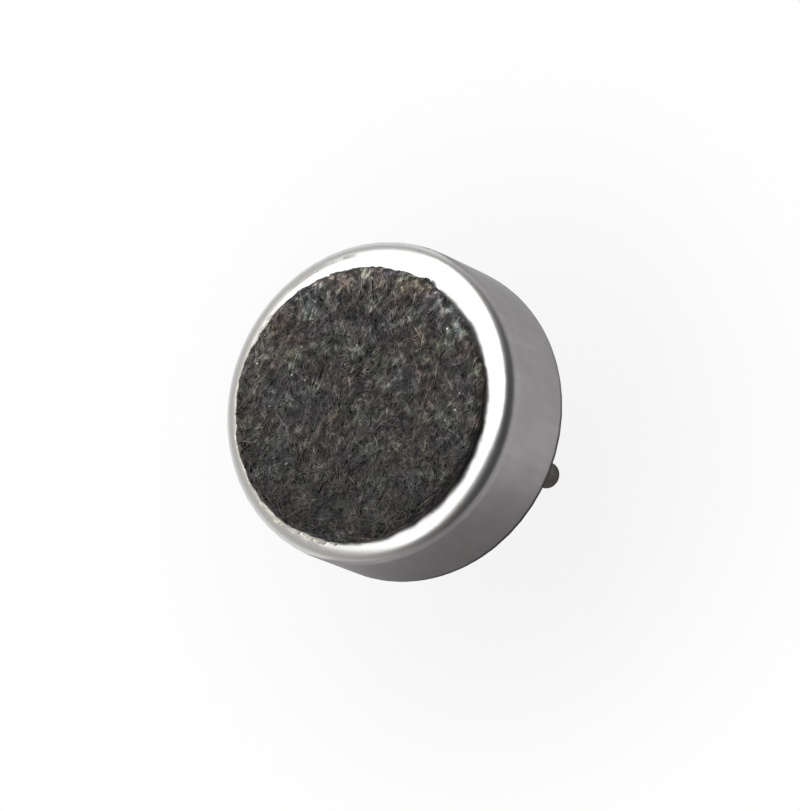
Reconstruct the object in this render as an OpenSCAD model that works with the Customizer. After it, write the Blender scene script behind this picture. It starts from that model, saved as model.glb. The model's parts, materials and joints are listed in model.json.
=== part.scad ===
// Electret microphone capsule of the 6 mm class, for a telephone, with two solder pins.
// One drawn aluminium sheet is the case. Its rear edge is crimped over the circuit board and
// clamps the stack inside: ring, diaphragm, spacer, back plate, chamber, gate ring and board.
// The seating plane is Z = 0, the sound inlet faces +Z, and the two pins lie on the X axis.

/* [Case] */
// Outer diameter of the case
case_d = 6; // [5.8:0.1:7]
// Height from the crimped rear edge to the front face
case_h = 2.2; // [2.1:0.05:3]
// Thickness of the drawn sheet
sheet_t = 0.2; // [0.16:0.01:0.22]
// Inner radius of the bends at the front corner and at the crimp
bend_r = 0.09; // [0.06:0.01:0.12]
// How far the crimped lip reaches in from the outer wall
lip_reach = 0.55; // [0.45:0.05:0.7]
// Radius of the lip's worn inner edge
lip_edge_r = 0.06; // [0.02:0.01:0.1]

/* [Sound inlet] */
// Number of sound holes around the middle one
inlet_count = 6; // [4:1:8]
// Diameter of a sound hole
inlet_d = 0.4; // [0.3:0.05:0.5]
// Distance of the outer sound holes from the axis
inlet_r = 1.1; // [0.9:0.05:1.4]

/* [Dust felt] */
// Width of the bare rim around the felt
rim_w = 0.46; // [0.44:0.02:0.7]
// Thickness of the felt
felt_t = 0.2; // [0.16:0.01:0.3]
// Radius of the felt's soft front edge
felt_edge_r = 0.14; // [0.02:0.02:0.14]
// How far the felt was stuck on away from the case's axis
felt_off = 0.13; // [0:0.01:0.15]
// Direction in which the felt lies off the axis, from +X towards +Y
felt_off_dir = 250; // [0:1:360]
// Thickness of the adhesive ring under the felt
adhesive_t = 0.04; // [0.03:0.01:0.08]
// Width of the adhesive ring
adhesive_w = 0.75; // [0.5:0.05:0.8]
// How far the adhesive ring ends inside the felt's edge
adhesive_inset = 0.05; // [0.02:0.01:0.1]

/* [Diaphragm and back plate] */
// Gap between the case's inner wall and what is stacked in it
stack_clear = 0.05; // [0.04:0.01:0.08]
// Thickness of the metal ring that carries the diaphragm
ring_t = 0.3; // [0.2:0.01:0.35]
// Radial width of that ring
ring_w = 0.55; // [0.4:0.05:0.7]
// Thickness of the metallised film
film_t = 0.012; // [0.01:0.001:0.02]
// Thickness of the spacer between film and back plate
spacer_t = 0.04; // [0.03:0.01:0.06]
// Radial width of the spacer
spacer_w = 0.75; // [0.65:0.05:0.85]
// Thickness of the charged polymer film on the back plate
electret_t = 0.025; // [0.02:0.005:0.04]
// Thickness of the back plate
plate_t = 0.2; // [0.15:0.01:0.25]
// Number of holes through the back plate
plate_hole_count = 6; // [4:1:8]
// Diameter of a back plate hole
plate_hole_d = 0.35; // [0.25:0.05:0.45]
// Distance of the back plate holes from the axis
plate_hole_r = 1.3; // [1:0.05:1.6]
// Wall of the plastic chamber around back plate and gate ring
chamber_wall = 0.5; // [0.4:0.05:0.55]
// Gap between the chamber's bore and what it holds
chamber_clear = 0.03; // [0.02:0.01:0.05]
// Wall of the gate ring
gate_wall = 0.2; // [0.15:0.01:0.22]
// How far the copper land reaches in past the gate ring
land_margin = 0.1; // [0.05:0.01:0.12]

/* [Circuit board] */
// Thickness of the board's core
board_t = 0.4; // [0.3:0.02:0.5]
// Thickness of the copper on either side
copper_t = 0.035; // [0.025:0.005:0.05]
// Thickness of the solder resist over the rear copper
resist_t = 0.02; // [0.015:0.005:0.03]
// Diameter of the rear pads that the pins are soldered to
pad_d = 1.1; // [1.04:0.02:1.2]
// Diameter of the drilled vias that join front and rear copper
via_d = 0.3; // [0.2:0.02:0.36]
// Diameter of the copper around a via
via_land_d = 0.5; // [0.44:0.02:0.6]
// Thickness of the copper plated into a via
plating_t = 0.025; // [0.02:0.005:0.04]
// Width of the tracks
track_w = 0.2; // [0.14:0.02:0.24]
// Width of the tinned rear ring that shows inside the lip
rear_ring_show = 0.25; // [0.15:0.05:0.35]
// Gap left between copper and the edge of what is near it
copper_clear = 0.05; // [0.03:0.01:0.07]
// Thickness of the solder under each lead and pin head
joint_t = 0.03; // [0.02:0.01:0.05]

/* [Transistor] */
// Length of the package, along the row of two leads
fet_l = 1.2; // [1.1:0.05:1.3]
// Width of the package
fet_w = 0.8; // [0.7:0.05:0.85]
// Height of the package
fet_h = 0.5; // [0.4:0.02:0.54]
// How far the package's moulded sides lean in
fet_draft = 0.04; // [0.01:0.01:0.08]
// Distance between the two leads on one side
lead_pitch = 0.8; // [0.7:0.02:0.86]
// Width of a lead
lead_w = 0.2; // [0.16:0.02:0.24]
// Thickness of a lead
lead_t = 0.1; // [0.08:0.01:0.14]
// How far a lead reaches out of the package
lead_reach = 0.2; // [0.15:0.01:0.24]
// How far a lead reaches into the package
lead_hold = 0.15; // [0.1:0.01:0.25]

/* [Capacitors] */
// Length of a capacitor
cap_l = 0.6; // [0.56:0.02:0.7]
// Width and height of a capacitor
cap_w = 0.3; // [0.26:0.01:0.32]
// Length of the metal end of a capacitor
cap_end = 0.15; // [0.1:0.01:0.2]
// Thickness of that metal
cap_end_t = 0.02; // [0.015:0.005:0.03]
// Gap between the components
cap_gap = 0.15; // [0.1:0.01:0.18]

/* [Pins] */
// Diameter of a pin
pin_d = 0.5; // [0.4:0.01:0.55]
// Distance between the two pins
pin_pitch = 2.54; // [2.5:0.02:2.6]
// Length of a pin below the seating plane
pin_l = 2.9; // [1.5:0.1:4]
// Radius of the pin's blunted end
tip_r = 0.08; // [0.02:0.01:0.18]
// Diameter of the flat head that a pin is soldered on by
head_d = 0.86; // [0.76:0.02:0.9]
// Thickness of that head
head_t = 0.12; // [0.09:0.01:0.15]
// Radius of the hollow bend between head and pin
head_bend_r = 0.03; // [0.01:0.01:0.05]
// How far the solder climbs the head's edge
solder_climb = 0.08; // [0.05:0.01:0.11]
// Thickness of the solder where it ends on the head's edge
fillet_edge = 0.02; // [0.01:0.005:0.03]
// Width of the pad's bare edge around the solder
pad_margin = 0.04; // [0.02:0.01:0.08]

/* [Hidden] */
$fn = 96;

// How far a cutting tool runs past the face that it cuts
past = 0.1;

// Radii, from the case's outer wall inwards
case_r = case_d / 2;
bore_r = case_r - sheet_t;
lip_r = case_r - lip_reach;
felt_r = case_r - rim_w;
adhesive_r = felt_r - adhesive_inset;
stack_r = bore_r - stack_clear;
chamber_r = stack_r - chamber_wall;
plate_r = chamber_r - chamber_clear;
gate_r = plate_r - gate_wall;
land_r = gate_r - land_margin;

// Heights, from the pin's head up through the board
rear_copper_z = sheet_t;
head_top_z = rear_copper_z - joint_t;
head_z = head_top_z - head_t;
board_z = rear_copper_z + copper_t;
front_copper_z = board_z + board_t;
joint_z = front_copper_z + copper_t;
part_z = joint_z + joint_t;

// Heights, from the front down through the stack and up to the felt
front_z = case_h - sheet_t;
ring_z = front_z - ring_t;
film_z = ring_z - film_t;
spacer_z = film_z - spacer_t;
electret_z = spacer_z - electret_t;
plate_z = electret_z - plate_t;
felt_z = case_h + adhesive_t;

// The rear ring of copper ends before the crimp's round corner, and the resist ends on it
rear_ring_r = bore_r - bend_r - copper_clear;
resist_r = lip_r - rear_ring_show;
rear_ring_in = resist_r - copper_clear;
// Spokes from the ground pad to the rear ring, as angles from -X
spoke_angles = [-50, 0, 50];

pin_x = pin_pitch / 2;
pin_r = pin_d / 2;
head_r = head_d / 2;
pad_r = pad_d / 2;
via_r = via_d / 2;
via_bore_r = via_r - plating_t;
via_land_r = via_land_d / 2;
// A via lies beside its pad towards -Y, with the pad's bare margin and some resist between them
via_y = -(pad_r + via_land_r + 2 * copper_clear);

// Places of the capacitors, from the transistor at the middle towards -Y
cap_1_y = -(fet_w / 2 + lead_reach + cap_gap + cap_w / 2);
cap_2_y = cap_1_y - cap_w - cap_gap;
// The rails that join the capacitors' ends and the transistor's leads on either side
rail_in = cap_l / 2 - cap_end;
rail_out = lead_pitch / 2 + lead_w / 2;
rail_end = cap_2_y - cap_w / 2 - copper_clear;

// The hollow side of the solder around a head is an arc from the pad to the head's edge
fillet_w = pad_r - pad_margin - head_r;
fillet_h = joint_t + solder_climb;
fillet_side_w = fillet_w - fillet_edge;
fillet_side_r = (pow(fillet_side_w, 2) + pow(fillet_h, 2)) / (2 * fillet_side_w);

aluminium = "#c9cacd";
felt_black = "#42403d";
glue = "#d8d2bd";
brass = "#c9a45c";
film_gold = "#d9c27a";
polymer = "#d6d1c0";
black_plastic = "#26262a";
board_green = "#2f6a45";
laminate = "#b9ad79";
copper = "#c67c4e";
tin = "#b7b8b6";
dark_tin = "#5b5751";
ceramic = "#b39a78";

// The section between a square corner and a quarter circle. Cut from an outer corner it rounds it,
// and put into an inner corner it is a hollow bend
module corner_section(r) {
    difference() {
        square(r);
        circle(r);
    }
}

// Half section of a solid of revolution with rounded lower and upper outer corners
module drum_section(r, h, corner) {
    difference() {
        square([r, h]);
        translate([r - corner, h - corner]) corner_section(corner);
        translate([r - corner, corner]) mirror([0, 1]) corner_section(corner);
    }
}

module disc(r, h, z) {
    translate([0, 0, z]) cylinder(r = r, h = h);
}

module tube(outer, inner, h, z) {
    difference() {
        disc(outer, h, z);
        disc(inner, h + 2 * past, z - past);
    }
}

// Copies its children at equal angles on a circle
module around(count, r) {
    for (i = [0 : count - 1]) rotate(i * 360 / count) translate([r, 0]) children();
}

// A box from one corner to the other, in plan, with its lower face at z
module plate(low, high, h, z) {
    translate([low.x, low.y, z]) cube([high.x - low.x, high.y - low.y, h]);
}

// Side is 1 for the output, on +X, and -1 for the ground
module at_pin(side) {
    translate([side * pin_x, 0]) children();
}

module at_via(side) {
    translate([side * pin_x, via_y]) children();
}

// The can: flat front with sound holes, round corner, straight wall and crimped rear lip
module case() {
    color(aluminium) difference() {
        rotate_extrude() difference() {
            drum_section(case_r, case_h, bend_r + sheet_t);
            translate([0, sheet_t]) drum_section(bore_r, front_z - sheet_t, bend_r);
            translate([0, -past]) square([lip_r, sheet_t + 2 * past]);
            translate([lip_r + lip_edge_r, lip_edge_r]) rotate(180) corner_section(lip_edge_r);
        }
        inlet_hole();
        around(inlet_count, inlet_r) inlet_hole();
    }
}

module inlet_hole() {
    disc(inlet_d / 2, sheet_t + 2 * past, front_z - past);
}

// Places what is stuck to the front where the felt is, a little off the axis
module felt_place() {
    rotate(felt_off_dir) translate([felt_off, 0]) children();
}

module dust_felt() {
    color(felt_black) felt_place() translate([0, 0, felt_z]) rotate_extrude() difference() {
        square([felt_r, felt_t]);
        translate([felt_r - felt_edge_r, felt_t - felt_edge_r]) corner_section(felt_edge_r);
    }
}

module felt_adhesive() {
    color(glue) felt_place() tube(adhesive_r, adhesive_r - adhesive_w, adhesive_t, case_h);
}

// The ring's bevel clears the round corner inside the case's front
module diaphragm_ring() {
    color(brass) translate([0, 0, ring_z]) rotate_extrude() polygon([
        [stack_r - ring_w, 0],
        [stack_r, 0],
        [stack_r, ring_t - bend_r],
        [stack_r - bend_r, ring_t],
        [stack_r - ring_w, ring_t]
    ]);
}

module diaphragm() {
    color(film_gold) disc(stack_r, film_t, film_z);
}

module spacer() {
    color(polymer) tube(stack_r, stack_r - spacer_w, spacer_t, spacer_z);
}

// Back plate and electret film are punched together
module punched_disc(h, z) {
    difference() {
        disc(plate_r, h, z);
        around(plate_hole_count, plate_hole_r) disc(plate_hole_d / 2, h + 2 * past, z - past);
    }
}

module electret_film() {
    color(polymer) punched_disc(electret_t, electret_z);
}

module back_plate() {
    color(brass) punched_disc(plate_t, plate_z);
}

module chamber() {
    color(black_plastic) tube(stack_r, chamber_r, spacer_z - front_copper_z, front_copper_z);
}

module gate_ring() {
    color(brass) tube(plate_r, gate_r, plate_z - joint_z, joint_z);
}

module via_holes(r, h, z) {
    for (side = [-1, 1]) at_via(side) disc(r, h + 2 * past, z - past);
}

module circuit_board() {
    color(laminate) difference() {
        disc(stack_r, board_t, board_z);
        via_holes(via_r, board_t, board_z);
    }
}

// The plating ends at the copper on either side, whose holes are as wide as its bore
module via(side) {
    color(copper) at_via(side) tube(via_r, via_bore_r, board_t, board_z);
}

module output_via() {
    via(1);
}

module ground_via() {
    via(-1);
}

// The land under the gate ring, with its track to the transistor's gate
module gate_land() {
    color(copper) {
        tube(plate_r, land_r, copper_t, front_copper_z);
        plate([-track_w / 2, fet_w / 2], [track_w / 2, gate_r], copper_t, front_copper_z);
    }
}

// The rail beside the capacitors, with its link to the output's via
module output_track() {
    half_w = track_w / 2;
    color(copper) difference() {
        union() {
            plate([rail_in, rail_end], [rail_out, -fet_w / 2], copper_t, front_copper_z);
            plate([rail_in, via_y - half_w], [pin_x, via_y + half_w], copper_t, front_copper_z);
            at_via(1) disc(via_land_r, copper_t, front_copper_z);
        }
        via_holes(via_bore_r, copper_t, front_copper_z);
    }
}

module ground_track() {
    mirror([1, 0, 0]) output_track();
}

// A pin's pad with the track to its via
module rear_pad(side) {
    at_pin(side) {
        disc(pad_r, copper_t, rear_copper_z);
        plate([-track_w / 2, via_y], [track_w / 2, 0], copper_t, rear_copper_z);
    }
    at_via(side) disc(via_land_r, copper_t, rear_copper_z);
}

module rear_output_copper() {
    color(tin) difference() {
        rear_pad(1);
        via_holes(via_bore_r, copper_t, rear_copper_z);
    }
}

// The ring that the crimp presses on, and the ground pad that its spokes reach
module rear_ground_copper() {
    color(tin) difference() {
        union() {
            tube(rear_ring_r, rear_ring_in, copper_t, rear_copper_z);
            rear_pad(-1);
            for (a = spoke_angles) spoke(a);
        }
        via_holes(via_bore_r, copper_t, rear_copper_z);
    }
}

// A spoke ends inside the rear ring, on the circle that the resist ends on
function spoke_l(a) = sqrt(pow(resist_r, 2) - pow(pin_x * sin(a), 2)) - pin_x * cos(a);

module spoke(a) {
    at_pin(-1) rotate(180 + a) plate([0, -track_w / 2], [spoke_l(a), track_w / 2], copper_t, rear_copper_z);
}

// Resist fills the gaps in the rear copper and covers its tracks and vias, but not pads and ring
module solder_resist() {
    resist_z = rear_copper_z - resist_t;
    full_t = resist_t + copper_t;
    color(board_green) difference() {
        disc(resist_r, full_t, resist_z);
        rear_output_copper();
        rear_ground_copper();
        for (side = [-1, 1]) at_pin(side) disc(pad_r + copper_clear, full_t + 2 * past, resist_z - past);
    }
}

// A flat lead, half in and half out of the package. Side is 1 towards +Y and -1 towards -Y
module lead(x, side) {
    near = fet_w / 2 - lead_hold;
    far = fet_w / 2 + lead_reach;
    translate([x, side * (near + far) / 2, part_z + lead_t / 2])
        cube([lead_w, far - near, lead_t], center = true);
}

module fet_gate_lead() {
    color(tin) lead(0, 1);
}

module fet_drain_lead() {
    color(tin) lead(lead_pitch / 2, -1);
}

module fet_source_lead() {
    color(tin) lead(-lead_pitch / 2, -1);
}

// Side view of a moulded package, widest where its mould parted, at the top of the leads
module package_section(w) {
    polygon([
        [-w / 2 + fet_draft, 0],
        [w / 2 - fet_draft, 0],
        [w / 2, lead_t],
        [w / 2 - fet_draft, fet_h],
        [-w / 2 + fet_draft, fet_h],
        [-w / 2, lead_t]
    ]);
}

module fet_body() {
    color(black_plastic) difference() {
        intersection() {
            translate([0, fet_w, part_z]) rotate([90, 0, 0])
                linear_extrude(2 * fet_w) package_section(fet_l);
            translate([-fet_l, 0, part_z]) rotate([90, 0, 90])
                linear_extrude(2 * fet_l) package_section(fet_w);
        }
        lead(0, 1);
        lead(lead_pitch / 2, -1);
        lead(-lead_pitch / 2, -1);
    }
}

// The ceramic block, a metal thickness short of the capacitor's size
module capacitor_block(y) {
    block_w = cap_w - 2 * cap_end_t;
    translate([0, y, part_z + cap_w / 2]) cube([cap_l - 2 * cap_end_t, block_w, block_w], center = true);
}

module capacitor_ends(y) {
    color(tin) difference() {
        for (side = [-1, 1]) {
            translate([side * (cap_l - cap_end) / 2, y, part_z + cap_w / 2])
                cube([cap_end, cap_w, cap_w], center = true);
        }
        capacitor_block(y);
    }
}

module capacitor_1() {
    color(ceramic) capacitor_block(cap_1_y);
}

module capacitor_2() {
    color(ceramic) capacitor_block(cap_2_y);
}

module capacitor_1_ends() {
    capacitor_ends(cap_1_y);
}

module capacitor_2_ends() {
    capacitor_ends(cap_2_y);
}

// The solder under the three leads and under the four metal ends
module component_solder() {
    lead_y = (fet_w + lead_reach) / 2;
    color(tin) {
        solder_joint([0, lead_y], [lead_w, lead_reach]);
        for (side = [-1, 1]) {
            solder_joint([side * lead_pitch / 2, -lead_y], [lead_w, lead_reach]);
            for (y = [cap_1_y, cap_2_y]) solder_joint([side * (cap_l - cap_end) / 2, y], [cap_end, cap_w]);
        }
    }
}

module solder_joint(middle, size) {
    plate(middle - size / 2, middle + size / 2, joint_t, joint_z);
}

// A pin with its blunted end below the capsule and its flat head at the board's rear pad
module pin(side) {
    color(dark_tin) at_pin(side) rotate_extrude() {
        difference() {
            translate([0, -pin_l]) square([pin_r, pin_l + head_z]);
            translate([pin_r - tip_r, tip_r - pin_l]) mirror([0, 1]) corner_section(tip_r);
        }
        translate([pin_r + head_bend_r, head_z - head_bend_r]) mirror([1, 0]) corner_section(head_bend_r);
        translate([0, head_z]) square([head_r, head_t]);
    }
}

module output_pin() {
    pin(1);
}

module ground_pin() {
    pin(-1);
}

// Solder between the pad and a pin's head, with a hollow fillet up the head's edge
module pin_solder(side) {
    color(tin) at_pin(side) translate([0, 0, head_top_z - solder_climb]) rotate_extrude() {
        translate([0, solder_climb]) square([head_r, joint_t]);
        difference() {
            translate([head_r, 0]) square([fillet_w, fillet_h]);
            translate([head_r + fillet_edge + fillet_side_r, 0]) circle(fillet_side_r);
        }
    }
}

module output_solder() {
    pin_solder(1);
}

module ground_solder() {
    pin_solder(-1);
}

case();
dust_felt();
felt_adhesive();
diaphragm_ring();
diaphragm();
spacer();
electret_film();
back_plate();
chamber();
gate_ring();
circuit_board();
output_via();
ground_via();
gate_land();
output_track();
ground_track();
rear_output_copper();
rear_ground_copper();
solder_resist();
fet_body();
fet_gate_lead();
fet_drain_lead();
fet_source_lead();
capacitor_1();
capacitor_2();
capacitor_1_ends();
capacitor_2_ends();
component_solder();
output_pin();
ground_pin();
output_solder();
ground_solder();
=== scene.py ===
"""A small electret microphone capsule on a white table.

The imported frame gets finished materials, the dust felt is rebuilt from fibres, and the camera is
the photograph's. Lengths are in metres unless a name says otherwise.
"""

import json
import math

import bpy
import numpy as np
from mathutils import Matrix, Vector


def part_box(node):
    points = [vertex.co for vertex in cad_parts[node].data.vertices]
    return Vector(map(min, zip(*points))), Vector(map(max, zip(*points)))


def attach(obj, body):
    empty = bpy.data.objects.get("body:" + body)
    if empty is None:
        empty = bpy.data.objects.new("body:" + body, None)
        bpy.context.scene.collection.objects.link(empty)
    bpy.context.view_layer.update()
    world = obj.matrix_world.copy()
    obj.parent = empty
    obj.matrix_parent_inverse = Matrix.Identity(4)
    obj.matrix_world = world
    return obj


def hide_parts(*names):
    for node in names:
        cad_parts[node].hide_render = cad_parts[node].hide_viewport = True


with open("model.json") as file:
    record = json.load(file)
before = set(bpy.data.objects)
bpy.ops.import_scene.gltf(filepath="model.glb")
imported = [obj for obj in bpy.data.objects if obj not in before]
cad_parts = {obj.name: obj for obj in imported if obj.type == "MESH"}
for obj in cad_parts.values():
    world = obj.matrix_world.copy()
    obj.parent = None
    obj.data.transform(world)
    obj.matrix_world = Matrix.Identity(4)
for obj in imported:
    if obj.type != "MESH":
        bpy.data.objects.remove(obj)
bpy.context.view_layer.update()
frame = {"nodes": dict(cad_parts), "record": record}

MM = 0.001
SEED = 20
NOISE_ROUGHNESS = 0.55

# Places that follow from the frame
case_low, case_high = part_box("case")
felt_low, felt_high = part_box("dust_felt")
pin_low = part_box("output_pin")[0]
CASE_R = (case_high.x - case_low.x) / 2
FELT_R = (felt_high.x - felt_low.x) / 2
FELT_CENTRE = (felt_low + felt_high) / 2

# The photograph's camera, as fitted to the can's outline
IMAGE_SIZE = (800, 811)
FOCAL_PX = 6612
TILT = math.radians(30.69)
TILT_TOWARDS = math.radians(23.28)
TURN = math.radians(2)
FACE_IN_CAMERA = Vector((-0.2084, -0.033, 40)) * CASE_R
SENSOR_MM = 36

# Light. A lamp leans from straight above towards +X and +Y, is turned about the line to the can, and
# is as wide as an angle seen from the can
LAMP_DISTANCE = 0.25
LAMPS = {
    "softbox": {"lean": (-14.7, -6), "turn": 32, "width": (24, 92), "radiance": 2.6},
    "window": {"lean": (-10, 32), "turn": 43, "width": (15, 59), "radiance": 4},
}
# The room is pale on the -X side and falls off to dark in one direction, over a stretch of the unit
# sphere
ROOM_PALE = (0.71, 0.69, 0.635)
ROOM_DARK = (0.046, 0.043, 0.046)
ROOM_DARK_TOWARDS = (1, 0.22, 0)
ROOM_FADE = (-1.02, 0.58)
FLOOR_COLOUR = 0.56
# The share of plain white that the camera sees in the floor at two distances from the can's axis
WHITE_SEEN = (0.88, 1)
WHITE_SEEN_MM = (3, 9)
# Metal mirrors that white around a spot of painted shade, growing from the one distance to the other.
# In one direction it mirrors only a share of it, more painted shade: the cosine of the angle to it says
# where that begins and ends. There the metal sees the darker plain floor, which darkens the wall on -Y
PAINTED_SHADE_SPOT_MM = (1, -1.8)
WHITE_MIRRORED_MM = (3.2, 4.8)
PAINTED_SHADE_TOWARDS = (0.707, -0.707, 0)
PAINTED_SHADE_COSINE = (0.78, 1)
WHITE_SHARE_IN_PAINTED_SHADE = 0.15
FLOOR_R = 0.45
FLOOR_BELOW_PINS = 0.00001

# The can's sheet. The bright front ends in the round corner, between two depths below the front, and
# reaches lower down on the -X side, a painted reflection that lightens that side of the corner. The draw
# marks end between two depths too
BRIGHT_DEPTH_MM = (0.15, 0.085)
PAINTED_REFLECTION_REACH_MM = 0.14
PAINTED_REFLECTION_REACH_X_MM = (-0.4, 0.6)
MARKS_DEPTH_MM = (0.6, 0.3)
# The outer bend at the crimp has painted shade: dark colour standing in for the dark under the can that
# the bend mirrors. Upwards, the painted shade sets in and ends over two stretches, and it grows weaker
# along Y
PAINTED_SHADE_FROM_Z_MM = (0.1, 0.17)
PAINTED_SHADE_TO_Z_MM = (0.21, 0.33)
PAINTED_SHADE_Y_MM = (-1.6, 1.4)

# The felt's body, whose face lies below the frame's felt to leave room for the fibres
FACE_BELOW_TOP_MM = 0.012
BODY_BELOW_FACE_MM = 0.012
BODY_ABOVE_CASE_MM = 0.002
OUTLINE_OUT_MM = 0.004
EDGE_R_MM = 0.13
EDGE_TUCK_MM = 0.09
RAGGED_MM = 0.011
LUMP_MM = 0.016
PIT_MM = 0.016
# Over this stretch inside its edge the felt turns lighter: painted light on the edge, which turns away
# from the lamps
PAINTED_LIGHT_EDGE_MM = (0.24, 0.1)
# One tuft sticks out of the edge, at a direction in degrees
TUFT = {"at": 81, "half_width": 1.6, "out_mm": 0.07}

# The felt's fibres lie along Y, swayed by a slow field and scattered by a random angle that grows
# towards +X and -Y, both in radians. They are thinner at their tips, stay inside the felt's outline, and
# the most usual length is given in lengths of the shortest
FIBRE_POINTS = 5
FIBRE_CURL_PER_MM = 1.4
FIBRE_SWAY = 0.35
FIBRE_SCATTER = 0.4
FIBRE_SCATTER_PER_MM = 0.1
FIBRE_SCATTER_RANGE = (0.25, 1)
FIBRE_TILT_MM = 0.012
FIBRE_TIP = 0.45
FIBRE_USUAL_LENGTH = 1.4
FIBRE_INSIDE_MM = 0.003
PLACES_TRIED = 3
SHORT = {"length_mm": (0.14, 0.5), "r_mm": (0.02, 0.034)}
HAIR = {"length_mm": (0.2, 0.8), "r_mm": (0.017, 0.025)}
FLECK = {"length_mm": (0.03, 0.06), "r_mm": (0.03, 0.04)}
# A fibre's height is measured from the felt's face to its middle. The more clumped, the more the
# fibres of a kind crowd into the same places, and below zero they keep away from them
# The darker kinds lie lower in the felt: fibres of real tones, sorted so as to paint shade into its depth
FIBRES = {
    "felt_fibres_black": {"tone": 0.03, "count": 7400, "high_mm": (-0.03, 0.01), "clumped": -0.8, **SHORT},
    "felt_fibres_dark": {"tone": 0.037, "count": 7400, "high_mm": (-0.025, 0.01), "clumped": 0, **SHORT},
    "felt_fibres_grey": {"tone": 0.048, "count": 7400, "high_mm": (-0.018, 0.01), "clumped": 0.8, **SHORT},
    "felt_hairs_grey": {"tone": 0.076, "count": 1700, "high_mm": (0.008, 0.028), "clumped": 1, **HAIR},
    "felt_hairs_pale": {"tone": 0.132, "count": 360, "high_mm": (0.016, 0.032), "clumped": 1.2, **HAIR},
    "felt_flecks": {"tone": 0.6, "count": 24, "high_mm": (0.012, 0.022), "clumped": 0, **FLECK},
}

# The ring of glue shows past the felt's edge between two directions from the felt's centre, and grows
# to its full reach over some degrees
GLUE_RING_MM = 0.4
GLUE_SHOWS = (132, 292)
GLUE_GROWS_OVER = 14
# How far out the glue reaches, and how ragged it is, towards six directions
GLUE_TOWARDS = (148, 160, 183, 203, 236, 250)
GLUE_OUT_MM = (0.09, 0.14, 0.122, 0.1, 0.075, 0.048)
GLUE_RAGGED_MM = (0.004, 0.004, 0.005, 0.006, 0.009, 0.026)
# The bead is rounded by places inwards and down from its top corner, and inwards and up from its foot
BEAD_TOP_MM = ((0.045, 0), (0.02, 0.008))
BEAD_FOOT_MM = (0.006, 0.02)


# Node materials

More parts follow.
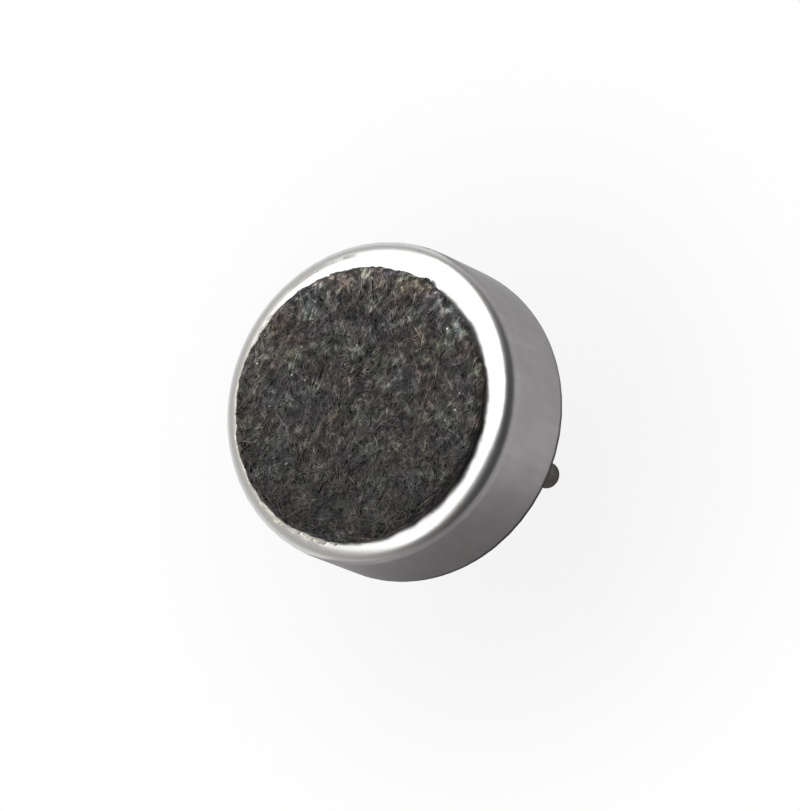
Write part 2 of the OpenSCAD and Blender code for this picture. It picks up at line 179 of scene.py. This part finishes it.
class Shader:
    """A new node material around one Principled shader, with short calls for the usual nodes."""

    def __init__(self, name):
        self.material = bpy.data.materials.new(name)
        self.material.use_nodes = True
        self.tree = self.material.node_tree
        self.principled = self.tree.nodes["Principled BSDF"]
        where = self.node("ShaderNodeTexCoord").outputs["Object"]
        in_mm = self.node("ShaderNodeVectorMath", operation="SCALE")
        in_mm.inputs["Scale"].default_value = 1 / MM
        self.link(where, in_mm.inputs[0])
        self.place = in_mm.outputs[0]

    def node(self, kind, **settings):
        made = self.tree.nodes.new(kind)
        for name, value in settings.items():
            setattr(made, name, value)
        return made

    def link(self, output, socket):
        self.tree.links.new(output, socket)

    def set(self, **values):
        for name, value in values.items():
            self.principled.inputs[name.replace("_", " ")].default_value = value

    def stretched(self, x, y, z):
        """The place in millimetres, scaled along each axis."""
        scaled = self.node("ShaderNodeVectorMath", operation="MULTIPLY")
        scaled.inputs[1].default_value = (x, y, z)
        self.link(self.place, scaled.inputs[0])
        return scaled.outputs[0]

    def part(self, axis):
        """One coordinate of the place in millimetres."""
        made = self.node("ShaderNodeSeparateXYZ")
        self.link(self.place, made.inputs[0])
        return made.outputs[axis]

    def noise(self, per_mm, detail, place=None):
        made = self.node("ShaderNodeTexNoise")
        made.inputs["Scale"].default_value = per_mm
        made.inputs["Detail"].default_value = detail
        made.inputs["Roughness"].default_value = NOISE_ROUGHNESS
        self.link(place or self.place, made.inputs["Vector"])
        return made.outputs["Fac"]

    def times(self, first, second):
        made = self.node("ShaderNodeMath", operation="MULTIPLY")
        self.link(first, made.inputs[0])
        self.link(second, made.inputs[1])
        return made.outputs[0]

    def plus(self, first, second):
        made = self.node("ShaderNodeMath", operation="ADD")
        self.link(first, made.inputs[0])
        self.link(second, made.inputs[1])
        return made.outputs[0]

    def distance(self, x, y):
        """How far the place lies from a line along Z, in millimetres."""
        made = self.node("ShaderNodeVectorMath", operation="DISTANCE")
        made.inputs[1].default_value = (x, y, 0)
        self.link(self.stretched(1, 1, 0), made.inputs[0])
        return made.outputs["Value"]

    def cosine(self, direction):
        """The cosine of the angle between the place and a direction of length 1."""
        unit = self.node("ShaderNodeVectorMath", operation="NORMALIZE")
        made = self.node("ShaderNodeVectorMath", operation="DOT_PRODUCT")
        made.inputs[1].default_value = direction
        self.link(self.place, unit.inputs[0])
        self.link(unit.outputs[0], made.inputs[0])
        return made.outputs["Value"]

    def scaled(self, vector, by):
        """A colour or vector times a number, or times another node's output."""
        made = self.node("ShaderNodeVectorMath", operation="SCALE")
        self.link(vector, made.inputs[0])
        if isinstance(by, bpy.types.NodeSocket):
            self.link(by, made.inputs["Scale"])
        else:
            made.inputs["Scale"].default_value = by
        return made.outputs[0]

    def between(self, factor, low, high, start=0.35, end=0.65, curve="LINEAR"):
        """A number that runs from low to high while factor runs from start to end, which span most of a
        noise where they aren't given."""
        made = self.node("ShaderNodeMapRange", clamp=True, interpolation_type=curve)
        for name, value in (("From Min", start), ("From Max", end), ("To Min", low), ("To Max", high)):
            made.inputs[name].default_value = value
        self.link(factor, made.inputs["Value"])
        return made.outputs["Result"]

    def blend(self, factor, first, second):
        """A colour between two, each a colour or another node's output."""
        made = self.node("ShaderNodeMix", data_type="RGBA")
        self.link(factor, made.inputs["Factor"])
        for name, value in (("A", first), ("B", second)):
            socket = next(s for s in made.inputs if s.name == name and s.type == "RGBA")
            if isinstance(value, bpy.types.NodeSocket):
                self.link(value, socket)
            else:
                socket.default_value = (*value, 1)
        return next(s for s in made.outputs if s.type == "RGBA")

    def colour(self, output):
        self.link(output, self.principled.inputs["Base Color"])

    def rough(self, output):
        self.link(output, self.principled.inputs["Roughness"])

    def bump(self, height, depth_mm):
        made = self.node("ShaderNodeBump")
        made.inputs["Strength"].default_value = 1
        made.inputs["Distance"].default_value = depth_mm * MM
        self.link(height, made.inputs["Height"])
        self.link(made.outputs["Normal"], self.principled.inputs["Normal"])


def grey(value):
    return (value, value, value)


def below_front(depths_mm):
    """Heights in millimetres that lie the given depths below the can's front."""
    return (case_high.z / MM - depth for depth in depths_mm)


def case_aluminium(name):
    """Drawn sheet: a bright front and corner, reaching lower down on the -X side as a painted reflection,
    a duller wall with faint draw marks, a few specks, and painted shade on the bend at the crimp."""
    s = Shader(name)
    clouds = s.noise(1.1, 4)
    draw_marks = s.noise(5, 3, s.stretched(1, 1, 0.08))
    specks = s.noise(13, 1)
    # Painted reflection: the bright front reaches lower down the corner on the -X side
    painted_reflection_reach = s.between(s.part("X"), PAINTED_REFLECTION_REACH_MM, 0, *PAINTED_REFLECTION_REACH_X_MM)
    front = s.between(s.plus(s.part("Z"), painted_reflection_reach), 0, 1, *below_front(BRIGHT_DEPTH_MM))
    wall = s.blend(s.between(clouds, 0, 1), (0.298, 0.284, 0.291), (0.346, 0.332, 0.338))
    marked = s.blend(s.between(draw_marks, 0, 0.35), wall, (0.255, 0.244, 0.25))
    metal = s.blend(front, marked, grey(0.62))
    metal = s.blend(s.between(specks, 0, 0.6, 0.757, 0.777), metal, (0.12, 0.115, 0.11))
    tint = s.blend(front, grey(0.6), grey(1))
    # Painted shade on the bend at the crimp, strongest on the -Y side; it dulls the tint as well
    set_in = s.between(s.part("Z"), 0, 1, *PAINTED_SHADE_FROM_Z_MM)
    in_bend = s.times(set_in, s.between(s.part("Z"), 1, 0, *PAINTED_SHADE_TO_Z_MM))
    painted_shade = s.times(in_bend, s.between(s.part("Y"), 0.95, 0.4, *PAINTED_SHADE_Y_MM))
    s.colour(s.blend(painted_shade, metal, grey(0.035)))
    s.link(s.blend(painted_shade, tint, grey(0.1)), s.principled.inputs["Specular Tint"])
    s.rough(s.between(front, 0.33, 0.34, 0, 1))
    marked_part = s.between(s.part("Z"), 1, 0, *below_front(MARKS_DEPTH_MM))
    s.bump(s.times(draw_marks, marked_part), 0.0012)
    s.set(Metallic=1)
    return s.material


def plain_finish(name, first, second, rough, per_mm, metal=0, depth_mm=0.002, coat=0):
    """A surface whose colour, gloss and height vary a little with one noise."""
    s = Shader(name)
    patches = s.noise(per_mm, 4)
    s.colour(s.blend(s.between(patches, 0, 1), first, second))
    s.rough(s.between(patches, rough - 0.07, rough + 0.07))
    s.bump(s.noise(per_mm * 5, 2), depth_mm)
    s.set(Metallic=metal, Coat_Weight=coat)
    return s.material


def felt_glue(name):
    """Cream glue, grey with dust in patches."""
    s = Shader(name)
    s.colour(s.blend(s.between(s.noise(7, 2), 0, 1), (0.52, 0.51, 0.46), (0.85, 0.83, 0.72)))
    s.rough(s.between(s.noise(9, 2), 0.35, 0.55))
    s.bump(s.noise(25, 2), 0.003)
    return s.material


def felt_tone(name, value):
    """Polyester fibres of one tone: blotchy, warm or cool in patches. Painted light makes them lighter
    towards +Y and -X, where the lamps are, darker towards +X, and lighter in a strip along the edge, there
    most on the +Y side."""
    s = Shader(name)
    cool = s.between(s.noise(1.2, 3), 0, 1)
    purple = s.blend(cool, (1.3, 0.94, 0.86), (1.07, 0.92, 1.08))
    green = s.blend(cool, (1.14, 1.06, 0.72), (0.88, 1.06, 0.97))
    tint = s.blend(s.between(s.noise(2, 2), 0, 1), purple, green)
    tufts = s.noise(1, 2, s.stretched(6, 4, 5))
    strands = s.noise(1, 2, s.stretched(14, 8, 11))
    blotch = s.times(s.between(s.noise(2, 2), 0.6, 1.4), s.between(tufts, 0.3, 1.7, 0.4, 0.6))
    blotch = s.times(blotch, s.between(strands, 0.38, 1.62, 0.41, 0.59))
    # Painted light: lighter towards +Y and -X, where the lamps are, and darker towards +X
    lean = s.times(s.between(s.part("Y"), 0.47, 1.5, -2.4, 2.4), s.between(s.part("X"), 1, 0.68, -2, 2.4))
    from_middle = s.distance(*FELT_CENTRE.xy / MM)
    at_edge = s.between(from_middle, 0, 1, *(FELT_R / MM - inside for inside in PAINTED_LIGHT_EDGE_MM))
    # Painted light in a strip along the edge, which turns away from the lamps, most on the +Y side
    painted_edge_light = s.times(at_edge, s.between(s.part("Y"), 0.3, 0.8, -2.5, 2.5))
    lean = s.plus(lean, s.times(lean, painted_edge_light))
    tone = s.scaled(s.scaled(tint, blotch), lean)
    s.colour(s.scaled(tone, value))
    s.rough(s.between(s.noise(12, 2), 0.45, 0.7))
    s.set(Sheen_Weight=0.05)
    return s.material


FINISHES = {
    "case_aluminium": case_aluminium,
    "felt_glue": felt_glue,
    "brass_sheet": lambda n: plain_finish(n, (0.55, 0.4, 0.18), (0.66, 0.5, 0.26), 0.3, 5, 1),
    "metallised_film": lambda n: plain_finish(n, (0.7, 0.62, 0.42), (0.78, 0.7, 0.5), 0.14, 2, 1, 0.0005),
    "clear_polymer": lambda n: plain_finish(n, (0.62, 0.6, 0.5), (0.7, 0.68, 0.6), 0.4, 4),
    "chamber_plastic": lambda n: plain_finish(n, (0.02, 0.02, 0.022), (0.04, 0.04, 0.043), 0.5, 12),
    "board_laminate": lambda n: plain_finish(n, (0.42, 0.38, 0.16), (0.55, 0.48, 0.26), 0.55, 10),
    "bare_copper": lambda n: plain_finish(n, (0.6, 0.27, 0.14), (0.72, 0.36, 0.2), 0.35, 8, 1),
    "tinned_copper": lambda n: plain_finish(n, (0.5, 0.5, 0.48), (0.68, 0.68, 0.66), 0.32, 6, 1, 0.006),
    "resist_green": lambda n: plain_finish(n, (0.02, 0.12, 0.045), (0.03, 0.17, 0.065), 0.3, 3, 0, 0.004,
                                           coat=0.5),
    "package_black": lambda n: plain_finish(n, (0.018, 0.018, 0.02), (0.035, 0.035, 0.038), 0.6, 25),
    "lead_tin": lambda n: plain_finish(n, (0.55, 0.55, 0.54), (0.68, 0.68, 0.66), 0.4, 20, 1),
    "capacitor_ceramic": lambda n: plain_finish(n, (0.4, 0.29, 0.17), (0.5, 0.38, 0.24), 0.5, 20),
    "solder": lambda n: plain_finish(n, (0.6, 0.6, 0.6), (0.74, 0.74, 0.73), 0.22, 7, 1, 0.008),
    "pin_metal": lambda n: plain_finish(n, (0.41, 0.37, 0.35), (0.6, 0.55, 0.52), 0.4, 6, 1, 0.006),
    "black_felt": lambda n: felt_tone(n, 0.04),
}


def finish_cad_nodes():
    """Gives each node of the frame the finish of its material slot, and returns the finishes."""
    made = {slot: make(slot) for slot, make in FINISHES.items()}
    for row in frame["record"]["subparts"]:
        node = frame["nodes"][row["node"]]
        node.data.materials.clear()
        node.data.materials.append(made[row["material_slot"]])
    return made


# The dust felt

def waves(rng, count, shortest_mm, longest_mm):
    """A smooth random field over x and y in millimetres, about 1 deep, summed from plane waves."""
    length = rng.uniform(shortest_mm, longest_mm, count)
    angle = rng.uniform(0, 2 * math.pi, count)
    phase = rng.uniform(0, 2 * math.pi, count)
    kx, ky = 2 * math.pi * np.cos(angle) / length, 2 * math.pi * np.sin(angle) / length

    def field(x, y):
        flat_x, flat_y = np.ravel(x), np.ravel(y)
        total = np.cos(np.outer(flat_x, kx) + np.outer(flat_y, ky) + phase).sum(axis=1)
        return (total * math.sqrt(2 / count)).reshape(np.shape(x))

    return field


class Felt:
    """The felt's ragged outline and its soft, pitted face. Places are millimetres from its centre."""

    def __init__(self, rng):
        self.centre = np.array(FELT_CENTRE.xy) / MM
        self.r = FELT_R / MM
        self.low = case_high.z / MM + BODY_ABOVE_CASE_MM
        self.top = felt_high.z / MM - FACE_BELOW_TOP_MM
        self.lumps = waves(rng, 20, 0.6, 1.8)
        self.pits = waves(rng, 70, 0.13, 0.4)
        self.ragged = waves(rng, 30, 0.1, 0.8)
        self.clumps = waves(rng, 50, 0.2, 1.2)

    def outline(self, angle):
        """The edge's distance from the felt's centre, with one tuft that sticks out."""
        x, y = self.r * np.cos(angle), self.r * np.sin(angle)
        from_tuft = (np.degrees(angle) - TUFT["at"] + 180) % 360 - 180
        tuft = TUFT["out_mm"] * np.exp(-(from_tuft / TUFT["half_width"]) ** 2)
        return self.r + OUTLINE_OUT_MM + RAGGED_MM * self.ragged(x, y) + tuft

    def height(self, x, y):
        """The height of the felt's face, which drops in an arc at its edge."""
        inside = self.outline(np.arctan2(y, x)) - np.hypot(x, y)
        over = np.clip(EDGE_R_MM - inside, 0, EDGE_R_MM)
        drop = EDGE_R_MM - np.sqrt(EDGE_R_MM ** 2 - over ** 2)
        return self.top + LUMP_MM * self.lumps(x, y) - PIT_MM * np.clip(self.pits(x, y), 0, None) - drop


def mesh_object(name, vertices, faces, material, smooth=True):
    mesh = bpy.data.meshes.new(name)
    mesh.from_pydata(vertices, [], faces)
    mesh.materials.append(material)
    if smooth:
        mesh.shade_smooth()
    mesh.update()
    made = bpy.data.objects.new(name, mesh)
    bpy.context.scene.collection.objects.link(made)
    return made


def ring_faces(rings, steps):
    """Quads between rings of equally many points that follow each other in a list of vertices. They
    face up where the rings grow, and out where the rings go down."""
    faces = []
    for i in range(rings - 1):
        for j in range(steps):
            k = (j + 1) % steps
            faces.append((i * steps + j, (i + 1) * steps + j, (i + 1) * steps + k, i * steps + k))
    return faces


def felt_body(felt, material):
    """The mass of felt under the fibres: a closed disc with a ragged, rounded edge."""
    steps = 360
    # The face's rings, as shares of the edge's distance. They come closer together near the edge
    share = np.concatenate([np.linspace(0.02, 0.94, 70), 1 - 0.06 * np.linspace(1, 0, 13)[1:] ** 2])
    angle = np.linspace(0, 2 * math.pi, steps, endpoint=False)
    edge = felt.outline(angle) - OUTLINE_OUT_MM
    x = np.outer(share, edge * np.cos(angle))
    y = np.outer(share, edge * np.sin(angle))
    z = felt.height(x, y) - BODY_BELOW_FACE_MM
    # The side's rings. Its lower half turns in under the edge
    down = np.linspace(0, 1, 6)[1:, None]
    tucked = 1 - EDGE_TUCK_MM / felt.r * np.clip(2 * down - 1, 0, 1)
    x = np.vstack([x, x[-1:] * tucked])
    y = np.vstack([y, y[-1:] * tucked])
    z = np.vstack([z, z[-1:] * (1 - down) + felt.low * down])
    vertices = np.stack([x, y, z], axis=-1).reshape(-1, 3)
    rings = len(x)
    faces = ring_faces(rings, steps)
    faces.append(tuple(range(steps)))
    faces.append(tuple(reversed(range((rings - 1) * steps, rings * steps))))
    vertices[:, :2] += felt.centre
    return mesh_object("felt_body", vertices * MM, faces, material)


def scattered(felt, rng, count, clumped):
    """Places on the felt, the denser the larger exp(clumped * clumps) is there. More places are tried
    than kept."""
    tries = PLACES_TRIED * count
    r = felt.r * np.sqrt(rng.uniform(0, 1, tries))
    around = rng.uniform(0, 2 * math.pi, tries)
    x, y = r * np.cos(around), r * np.sin(around)
    kept = np.argsort(clumped * felt.clumps(x, y) + rng.gumbel(0, 1, tries))[-count:]
    return x[kept], y[kept]


def fibre_lines(felt, rng, x, y, length_mm, high_mm):
    """Short lines on the felt's face, one from each place, as an array of lines by points."""
    count = len(x)
    flow = waves(np.random.default_rng(SEED + 1), 12, 0.8, 3)
    scatter = np.clip(FIBRE_SCATTER + FIBRE_SCATTER_PER_MM * (x - y), *FIBRE_SCATTER_RANGE)
    heading = math.pi / 2 + FIBRE_SWAY * flow(x, y) + rng.normal(0, 1, count) * scatter
    shortest, longest = length_mm
    length = rng.triangular(shortest, FIBRE_USUAL_LENGTH * shortest, longest, count)
    step = length / (FIBRE_POINTS - 1)
    curl = rng.normal(0, FIBRE_CURL_PER_MM, count)[:, None] * np.ones(FIBRE_POINTS)
    turn = heading[:, None] + np.cumsum(curl * step[:, None], axis=1)
    px = x[:, None] + np.cumsum(np.cos(turn) * step[:, None], axis=1)
    py = y[:, None] + np.cumsum(np.sin(turn) * step[:, None], axis=1)
    px, py = keep_inside(felt, px, py)
    tilt = rng.normal(0, FIBRE_TILT_MM, count)[:, None] * np.linspace(-1, 1, FIBRE_POINTS)
    raised = rng.uniform(*high_mm, count)[:, None]
    pz = felt.height(px, py) + raised + tilt
    return np.stack([px, py, pz], axis=-1)


def keep_inside(felt, px, py):
    """Shifts each fibre towards the middle until no point of it lies past the ragged edge."""
    distance = np.hypot(px, py)
    past = distance - felt.outline(np.arctan2(py, px))
    worst = past.argmax(axis=1)
    row = np.arange(len(px))
    over = np.clip(past[row, worst] + FIBRE_INSIDE_MM, 0, None) / distance[row, worst]
    return px - (px[row, worst] * over)[:, None], py - (py[row, worst] * over)[:, None]


def fibre_piece(name, felt, rng, material, lines, r_mm):
    """Lines made into closed three-sided tubes with tapered ends."""
    count = len(lines)
    ahead = np.gradient(lines, axis=1)
    ahead /= np.linalg.norm(ahead, axis=2, keepdims=True)
    side = np.cross(ahead, [0, 0, 1])
    side /= np.linalg.norm(side, axis=2, keepdims=True)
    up = np.cross(side, ahead)
    radius = rng.uniform(*r_mm, count)[:, None] * np.ones(FIBRE_POINTS)
    radius[:, [0, -1]] *= FIBRE_TIP
    corner = math.pi / 2 + np.arange(3) * 2 * math.pi / 3
    spokes = np.cos(corner)[:, None] * side[:, :, None, :] + np.sin(corner)[:, None] * up[:, :, None, :]
    vertices = lines[:, :, None, :] + radius[:, :, None, None] * spokes
    vertices = vertices.reshape(-1, 3)
    vertices[:, :2] += felt.centre
    return mesh_object(name, vertices * MM, tube_faces(count), material)


def tube_faces(count):
    """Faces of count three-sided tubes whose rings follow each other."""
    faces = []
    for first in range(0, count * FIBRE_POINTS * 3, FIBRE_POINTS * 3):
        last = first + (FIBRE_POINTS - 1) * 3
        faces.append((first, first + 1, first + 2))
        faces.append((last + 2, last + 1, last))
        for a in range(first, last, 3):
            for k in range(3):
                n = (k + 1) % 3
                faces.append((a + k, a + 3 + k, a + 3 + n, a + n))
    return faces


def build_felt(body_material):
    """The felt's body and its fibres in place of the frame's plain felt."""
    rng = np.random.default_rng(SEED)
    felt = Felt(rng)
    body = felt_body(felt, body_material)
    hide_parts("dust_felt")
    made = [body]
    for name, kind in FIBRES.items():
        x, y = scattered(felt, rng, kind["count"], kind["clumped"])
        lines = fibre_lines(felt, rng, x, y, kind["length_mm"], kind["high_mm"])
        made.append(fibre_piece(name, felt, rng, felt_tone(name, kind["tone"]), lines, kind["r_mm"]))
    for piece in made:
        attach(piece, "root")
    return felt


def build_glue(felt, material):
    """The ring of glue under the felt, which oozes out in a ragged bead on one side."""
    rng = np.random.default_rng(SEED + 2)
    steps = 720
    degrees = np.linspace(0, 360, steps, endpoint=False)
    angle = np.radians(degrees)
    glue_low, glue_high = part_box("felt_adhesive")
    low, high = glue_low.z / MM, glue_high.z / MM
    ring_r = (glue_high.x - glue_low.x) / 2 / MM
    start, end = GLUE_SHOWS
    shown = np.clip(np.minimum(degrees - start, end - degrees) / GLUE_GROWS_OVER, 0, 1)
    out = np.interp(degrees, GLUE_TOWARDS, GLUE_OUT_MM)
    ragged = waves(rng, 40, 0.07, 0.5)(felt.r * np.cos(angle), felt.r * np.sin(angle))
    bead = felt.outline(angle) + out + np.interp(degrees, GLUE_TOWARDS, GLUE_RAGGED_MM) * ragged
    outer = ring_r + (bead - ring_r) * shown
    inner = np.full(steps, ring_r - GLUE_RING_MM)
    rounded = [(outer - inwards, high - down) for inwards, down in BEAD_TOP_MM]
    foot = (outer - BEAD_FOOT_MM[0], low + BEAD_FOOT_MM[1])
    profile = [(inner, high), *rounded, foot, (outer, low), (inner, low)]
    vertices = np.array([[r[j] * math.cos(angle[j]), r[j] * math.sin(angle[j]), z]
                         for r, z in profile for j in range(steps)])
    vertices[:, :2] += felt.centre
    rings = len(profile)
    faces = ring_faces(rings, steps)
    last = (rings - 1) * steps
    faces += [(last + j, j, (j + 1) % steps, last + (j + 1) % steps) for j in range(steps)]
    glue = mesh_object("glue_ring", vertices * MM, faces, material)
    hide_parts("felt_adhesive")
    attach(glue, "root")


# Table, light and camera

def floor_material():
    """A pale floor that turns plain white away from the can; the metal sees painted shade around a spot.
    """
    s = Shader("table")
    s.set(Base_Color=(*grey(FLOOR_COLOUR), 1), Roughness=1, Specular_IOR_Level=0)
    seen = s.between(s.distance(0, 0), *WHITE_SEEN, *WHITE_SEEN_MM, curve="SMOOTHSTEP")
    # Painted shade in the metal: less white around the spot and towards +X -Y
    off_painted_shade = s.between(s.distance(*PAINTED_SHADE_SPOT_MM), 0, 1, *WHITE_MIRRORED_MM)
    mirrored = s.times(off_painted_shade, s.between(s.cosine(PAINTED_SHADE_TOWARDS), 1, WHITE_SHARE_IN_PAINTED_SHADE, *PAINTED_SHADE_COSINE))
    path = s.node("ShaderNodeLightPath").outputs
    in_metal = s.times(s.plus(path["Is Glossy Ray"], path["Is Transmission Ray"]), mirrored)
    share = s.plus(s.times(path["Is Camera Ray"], seen), in_metal)
    white = s.node("ShaderNodeEmission")
    both = s.node("ShaderNodeMixShader")
    out = s.tree.nodes["Material Output"]
    s.link(share, both.inputs["Fac"])
    s.link(s.principled.outputs[0], both.inputs[1])
    s.link(white.outputs[0], both.inputs[2])
    s.link(both.outputs[0], out.inputs["Surface"])
    return s.material


def build_table():
    """A round floor just under the pins' ends."""
    steps = 96
    angle = np.linspace(0, 2 * math.pi, steps, endpoint=False)
    vertices = [(FLOOR_R * math.cos(a), FLOOR_R * math.sin(a), 0) for a in angle]
    table = mesh_object("table", vertices, [tuple(range(steps))], floor_material(), smooth=False)
    table.location.z = pin_low.z - FLOOR_BELOW_PINS


def soft_lamp(name, lean, turn, width, radiance):
    """A rectangular lamp that faces the can."""
    slope = Vector((math.tan(math.radians(lean[0])), math.tan(math.radians(lean[1])), 1))
    towards = slope.normalized()
    level = Vector((0, 1, 0)).cross(towards).normalized()
    turned = math.radians(turn)
    across = math.cos(turned) * level + math.sin(turned) * towards.cross(level)
    lamp = bpy.data.lights.new(name, "AREA")
    lamp.shape = "RECTANGLE"
    lamp.size, lamp.size_y = (2 * LAMP_DISTANCE * math.tan(math.radians(w / 2)) for w in width)
    lamp.energy = radiance * math.pi * lamp.size * lamp.size_y
    made = bpy.data.objects.new(name, lamp)
    bpy.context.scene.collection.objects.link(made)
    facing = Matrix((across, towards.cross(across), towards)).transposed().to_4x4()
    made.matrix_world = Matrix.Translation(towards * LAMP_DISTANCE) @ facing
    made.visible_camera = False


def build_room():
    """The world's light, pale on one side and dark on the other."""
    world = bpy.data.worlds.new("room")
    world.use_nodes = True
    tree = world.node_tree
    direction = tree.nodes.new("ShaderNodeTexCoord")
    along = tree.nodes.new("ShaderNodeVectorMath")
    fade = tree.nodes.new("ShaderNodeMapRange")
    mix = tree.nodes.new("ShaderNodeMix")
    along.operation = "DOT_PRODUCT"
    along.inputs[1].default_value = ROOM_DARK_TOWARDS
    fade.inputs["From Min"].default_value, fade.inputs["From Max"].default_value = ROOM_FADE
    mix.data_type = "RGBA"
    colours = [socket for socket in mix.inputs if socket.type == "RGBA"]
    colours[0].default_value = (*ROOM_PALE, 1)
    colours[1].default_value = (*ROOM_DARK, 1)
    tree.links.new(direction.outputs["Generated"], along.inputs[0])
    tree.links.new(along.outputs["Value"], fade.inputs["Value"])
    tree.links.new(fade.outputs["Result"], mix.inputs["Factor"])
    result = next(socket for socket in mix.outputs if socket.type == "RGBA")
    tree.links.new(result, tree.nodes["Background"].inputs["Color"])
    bpy.context.scene.world = world


def build_camera():
    """The camera that sees the can as the photograph does."""
    ct, st, cp, sp = math.cos(TILT), math.sin(TILT), math.cos(TILT_TOWARDS), math.sin(TILT_TOWARDS)
    # In the camera's axes, right, down and forward: the can's axis into it, and two directions across
    into = Vector((st * cp, st * sp, ct))
    across = Vector((ct * cp, ct * sp, -st))
    other = into.cross(across)
    row_x = math.cos(TURN) * across - math.sin(TURN) * other
    row_y = -math.sin(TURN) * across - math.cos(TURN) * other
    to_row = Matrix((row_x, row_y, -into))
    right, down, forward = to_row.col
    lens = bpy.data.cameras.new("photo_camera")
    lens.sensor_width = SENSOR_MM
    lens.lens = FOCAL_PX * SENSOR_MM / max(IMAGE_SIZE)
    lens.clip_start = 0.01
    lens.clip_end = 2
    camera = bpy.data.objects.new("photo_camera", lens)
    bpy.context.scene.collection.objects.link(camera)
    facing = Matrix((right, -down, -forward)).transposed().to_4x4()
    place = Vector((0, 0, case_high.z)) - to_row @ FACE_IN_CAMERA
    camera.matrix_world = Matrix.Translation(place) @ facing
    bpy.context.scene.camera = camera


finishes = finish_cad_nodes()
built_felt = build_felt(finishes["black_felt"])
build_glue(built_felt, finishes["felt_glue"])
build_table()
build_room()
for lamp_name, lamp_place in LAMPS.items():
    soft_lamp(lamp_name, **lamp_place)
build_camera()
bpy.context.scene.view_settings.view_transform = "Standard"
